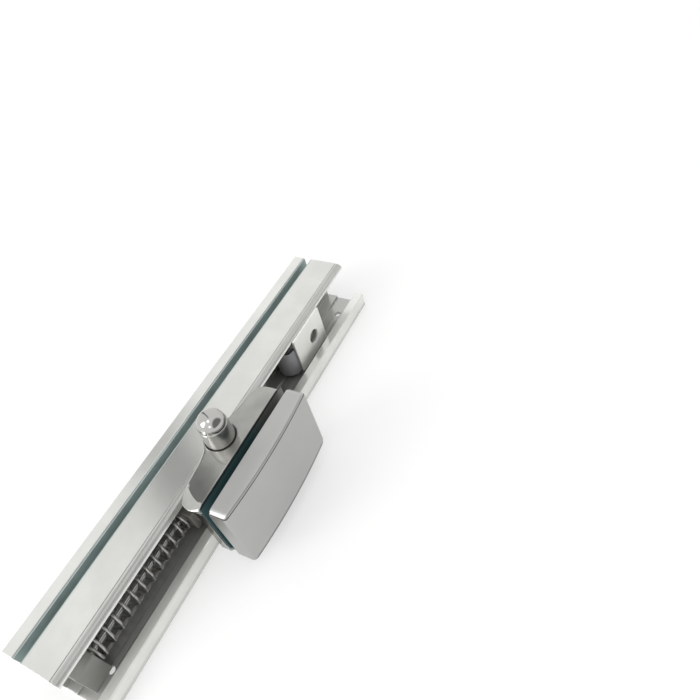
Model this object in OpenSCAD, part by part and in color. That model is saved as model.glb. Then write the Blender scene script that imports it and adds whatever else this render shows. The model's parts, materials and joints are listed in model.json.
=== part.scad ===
// Self-closing guide for a sliding glass door: a carriage clamped to the door glass runs
// along a bottom rail, with a sprung release knob, a closing spring and a buffered catch.
// X runs along the rail towards the closed end, Y from the door glass to the rail's back,
// Z up. The origin is the centre of the rail's foot.

/* [Rail] */
// Length of the rail
rail_len = 360; // [340:10:420]
// Width of the rail over its flanges
rail_w = 61.5; // [60.5:0.5:64]
// Height of the rail
rail_h = 46; // [44:0.5:52]
// Height of the low front lip
lip_h = 13.5; // [12:0.5:14]
// Width of the low front lip
lip_w = 7.75; // [6:0.25:8.5]
// Wall of the extrusion
rail_wall = 2; // [1.5:0.1:2.2]
// Floor of the channel
floor_t = 3; // [2:0.5:3.5]
// Rise of the track that carries the blocks
track_rise = 2; // [1:0.5:2.5]
// Radius of the rounded upper nose
nose_r = 4.3; // [3.5:0.1:4.8]
// Width of the back flange
flange_w = 9.2; // [8:0.2:10]
// Width of the glazing groove
groove_w = 8.3; // [7.5:0.1:9]
// Depth of the glazing groove
groove_d = 20; // [14:1:22]
// Distance between the two fixing holes
fix_span = 320; // [300:10:330]
// Diameter of the fixing holes
fix_d = 5; // [4:0.5:5.5]
// Thickness of the clip-on cover strip
strip_t = 1.5; // [1:0.1:2]

/* [Door glass and clamp] */
// Thickness of the door glass
glass_t = 6; // [5:0.5:8]
// Thickness of the gasket on each side of the glass
pad_t = 0.5; // [0.4:0.1:1]
// Height of the clamp above the rail
clamp_rise = 28; // [27:0.5:34]
// Lower edge of the clamp
clamp_foot = 14; // [12:0.5:16]
// Height of the lower edge of the glass
glass_foot = 20; // [18:0.5:22]
// Distance of the glass from the rail's front face
glass_off = 21; // [20.5:0.5:23]
// Thickness of the body's clamp wall
wall_t = 6.5; // [6:0.5:7]
// Thickness of the body's top flange
flange_t = 8; // [7:0.5:10]
// Distance between the clamp screws
screw_span = 58; // [54:1:60]
// Diameter of the clamp screws
screw_d = 5; // [4:0.5:6]

/* [Cover] */
// Length of the cover
cover_len = 98.8; // [94:0.2:102]
// Thickness of the cover at its ends
cover_t = 12.2; // [11.5:0.1:14]
// Bow of the cover's outer face
cover_bow = 2.6; // [2:0.1:4]
// Radius of the cover's corners
corner_r = 4.6; // [3:0.2:6]
// Wall of the cover
cover_wall = 2; // [1.5:0.1:3]
// Thickness of the backing plate under the cover
back_t = 4; // [3:0.5:5]

/* [Release knob] */
// Diameter of the knob at its skirt
knob_d = 20.6; // [20:0.2:22]
// Diameter of the knob below its dome
knob_top_d = 19.8; // [17:0.2:20]
// Height of the dome's centre above the body
knob_h = 16; // [14:0.5:20]
// Travel of the knob when it is pressed
press = 6; // [5:0.1:6.2]
// Diameter of the plunger
plunger_d = 8; // [7:0.5:9]

/* [Roller arm] */
// Thickness of the arm
arm_t = 3.5; // [3:0.1:3.8]
// Width of the arm
arm_w = 10; // [9:0.5:11]
// Distance between the two rollers
roller_span = 60; // [50:1:66]
// Diameter of the rollers
roller_d = 11.4; // [10:0.2:12]
// Height of the rollers
roller_h = 4.8; // [4:0.1:5]
// Diameter of the roller axles
axle_d = 4; // [3:0.5:5]

/* [Guide shoe and closing spring] */
// Length of the shoe in the channel
shoe_len = 107; // [100:1:112]
// Width of the shoe
shoe_w = 19; // [18:0.5:20]
// Diameter of the guide rod
rod_d = 5; // [4:0.5:6]
// Outer diameter of the closing spring
spring_d = 18; // [16:0.5:18.5]
// Wire of the closing spring
spring_wire = 2; // [1.6:0.1:2.4]
// Turns of the closing spring
spring_turns = 13; // [9:1:15]

/* [Catch] */
// Distance of the catch plate's near edge from the rail's closed end
catch_setback = 91.5; // [70:0.5:94]
// Length of the catch plate
catch_len = 41; // [38:0.5:44]
// Thickness of the catch plate
catch_t = 2; // [1.5:0.1:2.5]
// Reach of the buffer nose in front of the plate
nose_reach = 9.5; // [8:0.5:12]
// Travel of the buffer nose
nose_travel = 6; // [4:0.5:7]
// Diameter of the buffer's stem
stem_d = 5; // [4:0.5:6]
// Diameter of the catch screw's hole in the plate
catch_hole_d = 12; // [10:0.5:13]

/* [Fits] */
// Running clearance between a shaft and its bore, on the radius
run_gap = 0.05; // [0.03:0.01:0.09]
// Clearance between parts that pass each other
pass_gap = 0.3; // [0.2:0.05:0.5]

/* [Hidden] */
$fn = 48;
eps = 0.02;
end_gap = 0.1;
fixed_gap = 0.01;
cut = 1;

// Rail section, front to back and foot to top
rail_front = -rail_w / 2;
rail_back = rail_w / 2;
rail_end = rail_len / 2;
lip_back = rail_front + lip_w;
groove_back = rail_back - flange_w;
groove_front = groove_back - groove_w;
strip_w = 24;
strip_front = groove_front - strip_w;
nose_y = strip_front - rail_wall + 0.25;
nose_top = rail_h - 0.4;
track_front = -2.85;
track_top = floor_t + track_rise;
channel_back = 7;
ceiling = rail_h - 2.5;
rib_front = nose_y - 0.1;
rib_back = rib_front + rail_wall;
rib_lap = 4;

// Clamp, from the glass outwards
gap_w = glass_t + 2 * pad_t;
body_front = rail_front - glass_off;
glass_back = body_front;
glass_front = glass_back - gap_w;
cover_back = glass_front;
cover_x1 = 29.5;
cover_x0 = cover_x1 - cover_len;
cover_mid = (cover_x0 + cover_x1) / 2;
cover_front = cover_back - cover_t;
clamp_top = rail_h + clamp_rise;
clamp_h = clamp_top - clamp_foot;
screw_z = clamp_foot + clamp_h * 0.42;
web_top = glass_foot;
web_t = 1.5;
bow_r = (cover_len * cover_len / 4 + cover_bow * cover_bow) / (2 * cover_bow);
line_inset = 1.5;
line_w = 0.4;
line_depth = 0.5;
line_zs = [clamp_foot + line_inset, clamp_top - line_inset - line_w];
gasket_inset = 0.6;
clip_h = clamp_h / 8;
clip_zs = [clamp_foot + clamp_h * 0.27, clamp_foot + clamp_h * 0.64];

// Release, down the knob's axis
knob_x = -20.7;
knob_y = body_front + 16.5;
rim_h = 1.2;
rim_w = 0.4;
ring_h = 3;
ring_rise = 0.3;
ring_gap = 0.15;
ring_t = 0.4;
well_d = knob_d + 2 * (ring_gap + ring_t);
well_depth = 22;
well_floor = clamp_top - well_depth;
knob_foot = clamp_top - 8;
boss_d = well_d + 3;
boss_foot = well_floor - 14;
bush_d = plunger_d + 3;
arm_top = boss_foot - 1.5;
arm_foot = arm_top - arm_t;
hub_d = 13;
roller_y = rib_back + pass_gap + roller_d / 2;
roller_foot = arm_top + 0.5;
roller_top = roller_foot + roller_h;
rib_foot = roller_top - rib_lap;

// Shoe, rod and spring on one line
rod_y = -4;
rod_z = track_top + 13;
shoe_x0 = -62;
shoe_x1 = shoe_x0 + shoe_len;
shoe_y0 = rod_y - shoe_w / 2 - 2.5;
shoe_y1 = shoe_y0 + shoe_w;
shoe_foot = rod_z - 9;
shoe_top = arm_foot - press - 1;
foot_w = 20;
foot_top = 24;
foot_t = 5;
foot_xs = [-49, 3];
tongue_top = foot_top - foot_t;
tongue_t = 4;
anchor_len = 16;
anchor_front = rod_y - spring_d / 2;
anchor_top = rod_z + spring_d / 2 + 1;
anchor_screw_y = rod_y + 5.5;
anchor_screw_d = 4;
anchor_grip = 4;
anchor_x0 = -rail_end + 6;
anchor_x1 = anchor_x0 + anchor_len;
rod_x0 = anchor_x0 + 3;
rod_x1 = -22;
spring_x0 = anchor_x1;
spring_x1 = shoe_x0;

// Catch
catch_x0 = rail_end - catch_setback;
catch_x1 = catch_x0 + catch_len;
catch_front = -19;
catch_foot = 8;
catch_top = nose_top - 3;
house_front = catch_front + catch_t;
house_back = channel_back - 0.5;
house_top = rib_foot - 1.3;
hole_x = catch_x1 - 15.5;
hole_z = 24;
screw_sink = 2;
nose_x = catch_x0 - nose_reach;
nose_w = 21;
nose_len = 17.5;
nose_foot = 7.5;
nose_top_z = house_top - 2.5;
stem_y = -6;
stem_z = 15.5;
nest_x1 = nose_x + nose_len + nose_travel + 1;
stem_wall = 5;
stem_x0 = nose_x + 5;
stem_x1 = nest_x1 + stem_wall + 3;
nest_bore = 12;
clip_bore = 10;

// Screws, with the heads as shares of their shanks
head_ratio = 1.8;
socket_ratio = 0.7;
head_share = 0.8;
low_share = 0.55;
catch_screw_d = 5;
shoe_screw_d = 4;
shoe_head_h = shoe_screw_d * low_share;
shoe_screw_len = 7.4;
arm_washer_d = 9;
arm_screw_len = 10;

// Small springs
small_wire = 1.3;
buffer_turns = 6;
press_turns = 5;
press_coil_d = plunger_d + 6;
buffer_coil_d = nest_bore - small_wire - 2 * pass_gap;

// Release parts below the knob
spigot_d = 6;
plunger_top = knob_foot + 12;
arm_screw_d = 3.5;

// Body outline, shoe fixing and small hardware
body_x0 = -71;
body_x1 = 26.9;
flange_reach = 19.6;
gusset_t = 3;
gusset_w = 11;
gusset_h = 26;
gusset_xs = [knob_x - 24, knob_x + 22];
lobe_r = 31.2;
lobe_len = 4.8;
lobe_shift = 5;
lobe_reach = 26;
lobe_drop = 3;
lobe_slope = 2.1;
plan_step = 0.25;
shoe_screw_y = -36;
foot_reach = lip_back - body_front - wall_t - 1;
bush_outer_d = 13.5;
head_h = screw_d * head_share;
bush_len = 10;
tongue_margin = 1;
rod_bush_d = 9;

// Lays a section drawn in Y and Z along X, from x0 to x1
module along_x(x0, x1) {
    translate([x0, 0, 0]) rotate([90, 0, 90]) linear_extrude(x1 - x0) children();
}

// Cylinder along X
module rod_x(x0, x1, d) {
    translate([x0, 0, 0]) rotate([0, 90, 0]) cylinder(h = x1 - x0, d = d);
}

// Cylinder along Y
module rod_y(y0, y1, d) {
    translate([0, y0, 0]) rotate([-90, 0, 0]) cylinder(h = y1 - y0, d = d);
}

// Rectangle with rounded corners, from one corner to the other
module soft_rect(a, b, r) {
    x = [a.x + r, b.x - r];
    y = [a.y + r, b.y - r];
    translate([a.x + r, a.y]) square([b.x - a.x - 2 * r, b.y - a.y]);
    translate([a.x, a.y + r]) square([b.x - a.x, b.y - a.y - 2 * r]);
    for (i = x, j = y) translate([i, j]) circle(r);
}

// Rectangle from one corner to the other
module rect(a, b) {
    translate(a) square(b - a);
}

// Coil of round wire along +Z from the origin, with closed ends
module coil(length, mean_d, wire, turns, steps = 18, sides = 8) {
    dead = 1;
    live = turns - 2 * dead;
    n = turns * steps;
    rise = length - wire - 2 * dead * wire * 1.02;
    function height(t) = t < dead ? t * wire * 1.02
        : t > turns - dead ? length - wire - (turns - t) * wire * 1.02
        : dead * wire * 1.02 + (t - dead) / live * rise;
    points = [for (i = [0:n], j = [0:sides - 1])
        let (t = i / steps, a = 360 * t, b = 360 * j / sides,
            r = mean_d / 2 + wire / 2 * cos(b))
        [r * cos(a), r * sin(a), wire / 2 + height(t) + wire / 2 * sin(b)]];
    sides_faces = [for (i = [0:n - 1], j = [0:sides - 1])
        let (k = (j + 1) % sides)
        [i * sides + j, i * sides + k, (i + 1) * sides + k, (i + 1) * sides + j]];
    first = [[for (j = [sides - 1:-1:0]) j]];
    last = [[for (j = [0:sides - 1]) n * sides + j]];
    polyhedron(points, concat(sides_faces, first, last), convexity = 10);
}

// Socket-head screw pointing along -Z, head top at the origin
module screw(d, length, head_h, head_d) {
    difference() {
        union() {
            translate([0, 0, -head_h]) cylinder(h = head_h, d = head_d);
            translate([0, 0, -length]) cylinder(h = length - head_h + eps, d = d);
        }
        translate([0, 0, -head_h * 0.6])
            cylinder(h = head_h, d = d * socket_ratio, $fn = 6);
    }
}

module rail_section() {
    difference() {
        union() {
            soft_rect([rail_front, 0], [lip_back, lip_h], 0.8);
            rect([lip_back - 2, 0], [channel_back + rail_wall, floor_t]);
            rect([track_front, 0], [channel_back + rail_wall, track_top]);
            rect([channel_back, 0], [channel_back + rail_wall, rail_h - strip_t]);
            rect([channel_back, 0], [rail_back, rail_h - groove_d]);
            rect([groove_front - rail_wall, 0], [groove_front, rail_h - strip_t]);
            soft_rect([groove_back, 0], [rail_back, rail_h], 0.8);
            rect([nose_y - eps, ceiling], [groove_front, rail_h - strip_t]);
            rect([nose_y - eps, ceiling], [strip_front, nose_top]);
            rect([rib_front, rib_foot], [rib_back, ceiling + cut]);
            upper_nose();
        }
        rect([rail_front + rail_wall, rail_wall], [lip_back - rail_wall, lip_h - rail_wall]);
        rect([channel_back + rail_wall, rail_wall],
            [groove_front - rail_wall, rail_h - groove_d - rail_wall]);
        rect([groove_front, rail_wall],
            [groove_back - rail_wall / 2, rail_h - groove_d - rail_wall]);
        rect([groove_back + rail_wall, rail_wall],
            [rail_back - rail_wall, rail_h - rail_wall]);
    }
}

// Quarter-round nose over the mouth of the channel
module upper_nose() {
    difference() {
        translate([nose_y, nose_top - nose_r]) circle(nose_r);
        translate([nose_y, nose_top - nose_r]) circle(nose_r - rail_wall);
        rect([nose_y, 0], [nose_y + 10, rail_h]);
        rect([nose_y - 10, 0], [nose_y + 10, nose_top - nose_r]);
    }
}

module guide_rail() {
    color("gainsboro")
    difference() {
        along_x(-rail_end, rail_end) rail_section();
        for (x = [-fix_span / 2, fix_span / 2])
            translate([x, (lip_back + track_front) / 2, -cut])
                cylinder(h = floor_t + 2 * cut, d = fix_d);
        for (x = anchor_screw_xs())
            translate([x, anchor_screw_y, -cut])
                cylinder(h = track_top + 2 * cut, d = anchor_screw_d);
        translate([hole_x, 0, hole_z])
            rod_y(channel_back - cut, channel_back + rail_wall + cut, catch_screw_d);
    }
}

module cover_strip() {
    color("whitesmoke")
    along_x(-rail_end, rail_end) {
        rect([strip_front, rail_h - strip_t], [groove_front, rail_h]);
    }
}

module glazing_seal() {
    seal_t = (groove_w - glass_t) / 2;
    color("darkslategray")
    along_x(-rail_end, rail_end)
    difference() {
        rect([groove_front, rail_h - groove_d], [groove_back, rail_h - 0.6]);
        rect([groove_front + seal_t, rail_h - groove_d + seal_t],
            [groove_back - seal_t, rail_h + cut]);
    }
}

// Block section that stands on the stepped floor of the channel
module block_section(front, back, top) {
    rect([front, floor_t], [track_front, top]);
    rect([track_front - eps, track_top], [back, top]);
}

module catch_housing() {
    color("dimgray")
    difference() {
        along_x(catch_x0 + 0.5, catch_x1 - 0.5)
            block_section(house_front, house_back, house_top);
        translate([catch_x0, stem_y - nose_w / 2 - pass_gap, nose_foot - pass_gap])
            cube([nest_x1 - catch_x0, nose_w + 2 * pass_gap,
                nose_top_z - nose_foot + 2 * pass_gap]);
        translate([0, stem_y, stem_z]) {
            rod_x(nest_x1 - cut, nest_x1 + stem_wall + cut, stem_d + 2 * run_gap);
            rod_x(nest_x1 + stem_wall, stem_x1 + nose_travel + 1, clip_bore);
        }
        translate([hole_x, 0, hole_z]) {
            rod_y(house_front - cut,
                house_front + screw_sink + catch_screw_d * head_share, catch_hole_d);
            rod_y(house_front, house_back + cut, catch_screw_d);
        }
    }
}

module catch_plate() {
    color("gainsboro")
    translate([0, house_front, 0])
    rotate([90, 0, 0])
    linear_extrude(catch_t)
    difference() {
        soft_rect([catch_x0, catch_foot], [catch_x1, catch_top], 0.6);
        translate([hole_x, hole_z]) circle(d = catch_hole_d);
    }
}

module catch_screw() {
    color("gray")
    translate([hole_x, house_front + screw_sink, hole_z])
    rotate([90, 0, 0])
    screw(catch_screw_d, channel_back + rail_wall - house_front - screw_sink,
        catch_screw_d * head_share, catch_screw_d * head_ratio);
}

function anchor_screw_xs() = [anchor_x0 + anchor_screw_d, anchor_x1 - anchor_screw_d];

module rod_anchor() {
    color("dimgray")
    difference() {
        along_x(anchor_x0, anchor_x1)
            block_section(anchor_front, house_back, anchor_top);
        translate([0, rod_y, rod_z]) rod_x(rod_x0, anchor_x1 + cut, rod_d);
        for (x = anchor_screw_xs())
            translate([x, anchor_screw_y, track_top - cut])
                cylinder(h = anchor_grip + 2 * cut, d = anchor_screw_d);
    }
}

module anchor_screws() {
    color("silver")
    for (x = anchor_screw_xs())
        translate([x, anchor_screw_y, 0.4])
            difference() {
                cylinder(h = track_top + anchor_grip, d = anchor_screw_d);
                translate([0, 0, -cut]) cylinder(h = cut + 1.5, d = 2, $fn = 6);
            }
}

module guide_rod() {
    color("silver")
    translate([0, rod_y, rod_z]) rod_x(rod_x0, rod_x1, rod_d);
}

module closing_spring() {
    color("dimgray")
    translate([spring_x0 + end_gap, rod_y, rod_z])
    rotate([0, 90, 0])
    coil(spring_x1 - spring_x0 - 2 * end_gap, spring_d - spring_wire, spring_wire,
        spring_turns);
}

// Side view of the clamp, a rectangle with round corners, extruded along Y
module clamp_side(y0, y1, x0, x1, z0, z1, r) {
    translate([0, y1, 0]) rotate([90, 0, 0]) linear_extrude(y1 - y0)
        soft_rect([x0, z0], [x1, z1], r);
}

// Corner p of a plan eased between its neighbours a and b
function eased(a, p, b, r) =
    let (start = p + (a - p) * min(r / norm(a - p), 0.5),
        stop = p + (b - p) * min(r / norm(b - p), 0.5))
    [for (t = [0:plan_step:1]) (1 - t) * (1 - t) * start + 2 * t * (1 - t) * p + t * t * stop];

// Outline of the body's top flange, seen from above
module flange_plan() {
    front = body_front;
    deep = flange_reach;
    wide = knob_d;
    back = knob_y + 0.44 * wide;
    corners = [[body_x0 + 1.6, front], [body_x0 + 0.4, front + 0.18 * deep],
        [body_x0, front + 0.485 * deep], [body_x0 + 2.4, front + 0.8 * deep],
        [body_x0 + 11.5, front + 0.92 * deep], [body_x0 + 28.5, front + deep],
        [knob_x - 0.6 * wide, front + 1.13 * deep], [knob_x - 0.25 * wide, back],
        [knob_x + 0.25 * wide, back], [knob_x + 0.63 * wide, front + 1.1 * deep],
        [knob_x + wide, front + 0.98 * deep], [body_x1 - 22, front + 0.94 * deep],
        [body_x1 - 6.8, front + 0.85 * deep], [body_x1 - 1.7, front + 0.6 * deep],
        [body_x1, front + 0.3 * deep], [body_x1, front]];
    n = len(corners);
    polygon([for (i = [0:n - 1])
        each eased(corners[(i + n - 1) % n], corners[i], corners[(i + 1) % n],
            i == 0 || i == n - 1 ? 0.5 : 3)]);
}

// Slope that falls from the knob's plateau to the near end, outside an arc
module lobe_slope() {
    translate([0, 0, clamp_top - lobe_drop])
    difference() {
        translate([body_x0 - cut, body_front - cut, 0])
            cube([lobe_reach, lobe_reach, lobe_drop + cut]);
        translate([body_x0 + lobe_r + lobe_len, body_front - lobe_shift, -cut])
            cylinder(h = lobe_drop + 2 * cut, r1 = lobe_r + (lobe_drop + cut) * lobe_slope,
                r2 = lobe_r - cut * lobe_slope, $fn = 96);
    }
}

module carriage_body() {
    color("silver")
    difference() {
        union() {
            intersection() {
                translate([0, 0, clamp_top - flange_t - 2]) linear_extrude(flange_t + 4)
                    flange_plan();
                clamp_side(body_front - cut, knob_y + boss_d / 2, body_x0, body_x1,
                    clamp_top - flange_t, clamp_top, flange_t / 2 - 0.1);
            }
            clamp_side(body_front, body_front + wall_t, body_x0 + 1.6, body_x1,
                clamp_foot, clamp_top, corner_r);
            translate([knob_x, knob_y, boss_foot])
                cylinder(h = clamp_top - boss_foot, d = boss_d);
            for (x = gusset_xs) gusset(x);
            for (x = foot_xs)
                translate([x - foot_w / 2, body_front + wall_t - cut, tongue_top])
                    cube([foot_w, foot_reach + cut, foot_t]);
        }
        lobe_slope();
        translate([knob_x, knob_y, well_floor])
            cylinder(h = well_depth + cut, d = well_d);
        translate([knob_x, knob_y, boss_foot - cut])
            cylinder(h = well_floor - boss_foot + 2 * cut, d = bush_d);
        for (x = clamp_screw_xs())
            translate([x, 0, screw_z])
                rod_y(body_front - cut, body_front + wall_t + cut, screw_d);
        for (x = foot_xs)
            translate([x, shoe_screw_y, tongue_top - cut])
                cylinder(h = foot_t + cut - 0.5, d = shoe_screw_d);
    }
}

// Gusset between the clamp wall and the top flange
module gusset(x) {
    translate([x - gusset_t / 2, body_front + wall_t, clamp_top - flange_t])
    rotate([90, 0, 90])
    linear_extrude(gusset_t)
    polygon([[-cut, cut], [gusset_w, cut], [gusset_w, 0], [0, -gusset_h], [-cut, -gusset_h]]);
}

function clamp_screw_xs() = [cover_mid - screw_span / 2, cover_mid + screw_span / 2];

module glass_gasket() {
    x0 = cover_x0 + gasket_inset;
    x1 = cover_x1 - gasket_inset;
    top = clamp_top - gasket_inset;
    foot = web_top - web_t;
    color([0.02, 0.12, 0.13])
    difference() {
        union() {
            clamp_side(glass_front, glass_front + pad_t, x0, x1, foot, top, web_t / 2);
            clamp_side(glass_back - pad_t, glass_back, x0, x1, foot, top, web_t / 2);
            translate([x0 + web_t / 2, glass_front + pad_t - eps, foot])
                cube([x1 - x0 - web_t, glass_t + 2 * eps, web_t]);
        }
        for (x = clamp_screw_xs())
            translate([x, 0, screw_z])
                rod_y(glass_front - cut, glass_back + cut, bush_outer_d + 0.2);
    }
}

module clamp_bushes() {
    color("dimgray")
    for (x = clamp_screw_xs())
        translate([x, 0, screw_z])
            difference() {
                rod_y(glass_front, glass_back, bush_outer_d);
                rod_y(glass_front - cut, glass_back + cut, screw_d + 0.4);
            }
}

module clamp_plate() {
    inset = cover_wall + 1;
    color("gray")
    difference() {
        clamp_side(glass_front - back_t, glass_front, cover_x0 + inset, cover_x1 - inset,
            clamp_foot + inset, clamp_top - inset, corner_r - 2);
        for (x = clamp_screw_xs())
            translate([x, 0, screw_z])
                rod_y(glass_front - back_t - cut, glass_front + cut, screw_d + 0.4);
    }
}

module clamp_screws() {
    length = head_h + back_t + gap_w + wall_t - 0.5;
    color("silver")
    for (x = clamp_screw_xs())
        translate([x, glass_front - back_t - head_h, screw_z])
            rotate([90, 0, 0]) screw(screw_d, length, head_h, screw_d * head_ratio);
}

// Cover's outline grown or shrunk by an inset, with its outer face bowed in plan
module cover_solid(inset, front_gap) {
    r = bow_r - front_gap;
    intersection() {
        clamp_side(cover_front - cover_bow - cut, cover_back, cover_x0 + inset,
            cover_x1 - inset, clamp_foot + inset, clamp_top - inset, corner_r - inset);
        translate([cover_mid, cover_front - cover_bow + bow_r, clamp_foot - cut])
            cylinder(h = clamp_h + 2 * cut, r = r, $fn = 720);
    }
}

// Fine lines along the upper and lower edge of the cover's outer face
module face_lines() {
    difference() {
        for (z = line_zs)
            translate([cover_x0 - cut, cover_front - cover_bow - cut, z])
                cube([cover_len + 2 * cut, cover_t + cut, line_w]);
        cover_solid(0, line_depth);
    }
}

module cover_cap() {
    color("silver")
    difference() {
        cover_solid(0, 0);
        translate([0, eps, 0]) cover_solid(cover_wall, cover_wall);
        face_lines();
    }
}

module cap_clips() {
    color("gray")
    for (x = [cover_x0 + cover_wall, cover_x1 - cover_wall - 1], z = clip_zs)
        translate([x, glass_front - back_t, z]) cube([1, back_t, clip_h]);
}

module plunger_bush() {
    color("goldenrod")
    translate([knob_x, knob_y, boss_foot])
    difference() {
        cylinder(h = well_floor - boss_foot, d = bush_d);
        translate([0, 0, -cut])
            cylinder(h = well_floor - boss_foot + 2 * cut, d = plunger_d + 2 * run_gap);
    }
}

module knob_ring() {
    color([0.05, 0.05, 0.05])
    translate([knob_x, knob_y, clamp_top - ring_h + ring_rise])
    difference() {
        cylinder(h = ring_h, d = well_d);
        translate([0, 0, -cut]) cylinder(h = ring_h + 2 * cut, d = knob_d + 2 * ring_gap);
    }
}

module guide_shoe() {
    tip = shoe_w / 2;
    color([0.12, 0.12, 0.12])
    difference() {
        union() {
            along_x(shoe_x0, shoe_x1 - tip)
                soft_rect([shoe_y0, shoe_foot], [shoe_y1, shoe_top], 1);
            translate([shoe_x1 - tip, (shoe_y0 + shoe_y1) / 2, shoe_foot])
                cylinder(h = shoe_top - shoe_foot, r = tip);
            for (x = foot_xs)
                translate([x - foot_w / 2 + tongue_margin, shoe_screw_y - shoe_screw_d - 1,
                    tongue_top - tongue_t])
                    cube([foot_w - 2 * tongue_margin,
                        shoe_y0 - shoe_screw_y + shoe_screw_d + 2, tongue_t]);
        }
        translate([0, rod_y, rod_z]) {
            rod_x(shoe_x0 - cut, shoe_x0 + bush_len, rod_bush_d);
            rod_x(shoe_x0, shoe_x1 - 3, rod_d + 1);
        }
        for (x = foot_xs)
            translate([x, shoe_screw_y, tongue_top - tongue_t - cut]) {
                cylinder(h = tongue_t + 2 * cut, d = shoe_screw_d + 2 * pass_gap);
                cylinder(h = cut + shoe_head_h + pass_gap,
                    d = shoe_screw_d * head_ratio + 2 * pass_gap);
            }
    }
}

module shoe_screws() {
    color("silver")
    for (x = foot_xs)
        translate([x, shoe_screw_y, tongue_top - tongue_t + pass_gap])
            mirror([0, 0, 1])
                screw(shoe_screw_d, shoe_screw_len, shoe_head_h, shoe_screw_d * head_ratio);
}

module rod_bush() {
    color("ivory")
    translate([0, rod_y, rod_z])
    difference() {
        rod_x(shoe_x0, shoe_x0 + bush_len, rod_bush_d);
        rod_x(shoe_x0 - cut, shoe_x0 + bush_len + cut, rod_d + 2 * run_gap);
    }
}

module release_knob() {
    color("lightgray")
    translate([knob_x, knob_y, 0])
    difference() {
        union() {
            translate([0, 0, knob_foot]) cylinder(h = clamp_top - knob_foot, d = knob_d);
            translate([0, 0, clamp_top])
                cylinder(h = knob_h - rim_h, d1 = knob_d, d2 = knob_top_d);
            translate([0, 0, clamp_top + knob_h]) sphere(d = knob_top_d - 2 * rim_w);
        }
        translate([0, 0, knob_foot - cut]) cylinder(h = plunger_top - knob_foot + cut,
            d = spigot_d);
    }
}

module plunger() {
    color("silver")
    translate([knob_x, knob_y, 0])
    difference() {
        union() {
            translate([0, 0, arm_top]) cylinder(h = knob_foot - arm_top, d = plunger_d);
            translate([0, 0, arm_foot]) cylinder(h = plunger_top - arm_foot, d = spigot_d);
        }
        translate([0, 0, arm_foot - cut]) cylinder(h = 9 + cut, d = arm_screw_d);
    }
}

function roller_xs() = [knob_x - roller_span / 2, knob_x + roller_span / 2];

module roller_arm() {
    color("gray")
    translate([0, 0, arm_foot])
    linear_extrude(arm_t)
    difference() {
        union() {
            translate([knob_x, knob_y]) circle(d = hub_d);
            rect([knob_x - 5, knob_y], [knob_x + 5, roller_y]);
            rect([roller_xs()[0], roller_y - arm_w / 2], [roller_xs()[1], roller_y + arm_w / 2]);
            for (x = roller_xs()) translate([x, roller_y]) circle(d = arm_w);
        }
        translate([knob_x, knob_y]) circle(d = spigot_d);
        for (x = roller_xs()) translate([x, roller_y]) circle(d = axle_d);
    }
}

module arm_screw() {
    color("silver")
    translate([knob_x, knob_y, arm_foot - arm_screw_d * head_share])
    mirror([0, 0, 1])
        screw(arm_screw_d, arm_screw_len, arm_screw_d * head_share, arm_washer_d);
}

module roller_axles() {
    color("silver")
    for (x = roller_xs())
        translate([x, roller_y, 0]) {
            translate([0, 0, arm_foot]) cylinder(h = roller_top + 1 - arm_foot, d = axle_d);
            translate([0, 0, arm_top]) cylinder(h = 0.4, d = axle_d + 2.5);
        }
}

module axle_clips() {
    color("dimgray")
    for (x = roller_xs())
        translate([x, roller_y, roller_top + 0.1])
            difference() {
                cylinder(h = 0.6, d = axle_d + 3);
                translate([0, 0, -cut]) cylinder(h = 0.6 + 2 * cut, d = axle_d);
            }
}

module plunger_spring() {
    color("dimgray")
    translate([knob_x, knob_y, well_floor + end_gap])
        coil(knob_foot - well_floor - 2 * end_gap, press_coil_d, small_wire, press_turns,
            16, 6);
}

module guide_roller(x) {
    color("whitesmoke")
    translate([x, roller_y, roller_foot])
    difference() {
        union() {
            cylinder(h = roller_h, d = roller_d - 1);
            translate([0, 0, 0.5]) cylinder(h = roller_h - 1, d = roller_d);
        }
        translate([0, 0, -cut])
            cylinder(h = roller_h + 2 * cut, d = axle_d + 2 * run_gap);
    }
}

module guide_roller_a() {
    guide_roller(roller_xs()[0]);
}

module guide_roller_b() {
    guide_roller(roller_xs()[1]);
}

module buffer_nose() {
    r = nose_w / 2;
    color([0.25, 0.27, 0.33])
    difference() {
        translate([nose_x, stem_y, nose_foot])
            linear_extrude(nose_top_z - nose_foot) {
                intersection() {
                    translate([r, 0]) circle(r);
                    rect([0, -r], [r, r]);
                }
                rect([r - eps, -r], [nose_len, r]);
            }
        translate([0, stem_y, stem_z]) {
            rod_x(stem_x0, nose_x + nose_len + cut, nest_bore);
            rod_x(stem_x0 - 2, stem_x0 + cut, stem_d + 2 * fixed_gap);
        }
    }
}

module buffer_stem() {
    color("silver")
    translate([0, stem_y, stem_z]) rod_x(stem_x0 - 2, stem_x1, stem_d);
}

module stem_clip() {
    color("dimgray")
    translate([0, stem_y, stem_z])
    difference() {
        rod_x(nest_x1 + stem_wall + 0.1, nest_x1 + stem_wall + 1.1, stem_d + 3.5);
        rod_x(nest_x1 + stem_wall - cut, nest_x1 + stem_wall + 2, stem_d);
    }
}

module buffer_spring() {
    color("dimgray")
    translate([stem_x0 + end_gap, stem_y, stem_z])
    rotate([0, 90, 0])
        coil(nest_x1 - stem_x0 - 2 * end_gap, buffer_coil_d, small_wire, buffer_turns,
            16, 6);
}

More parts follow.
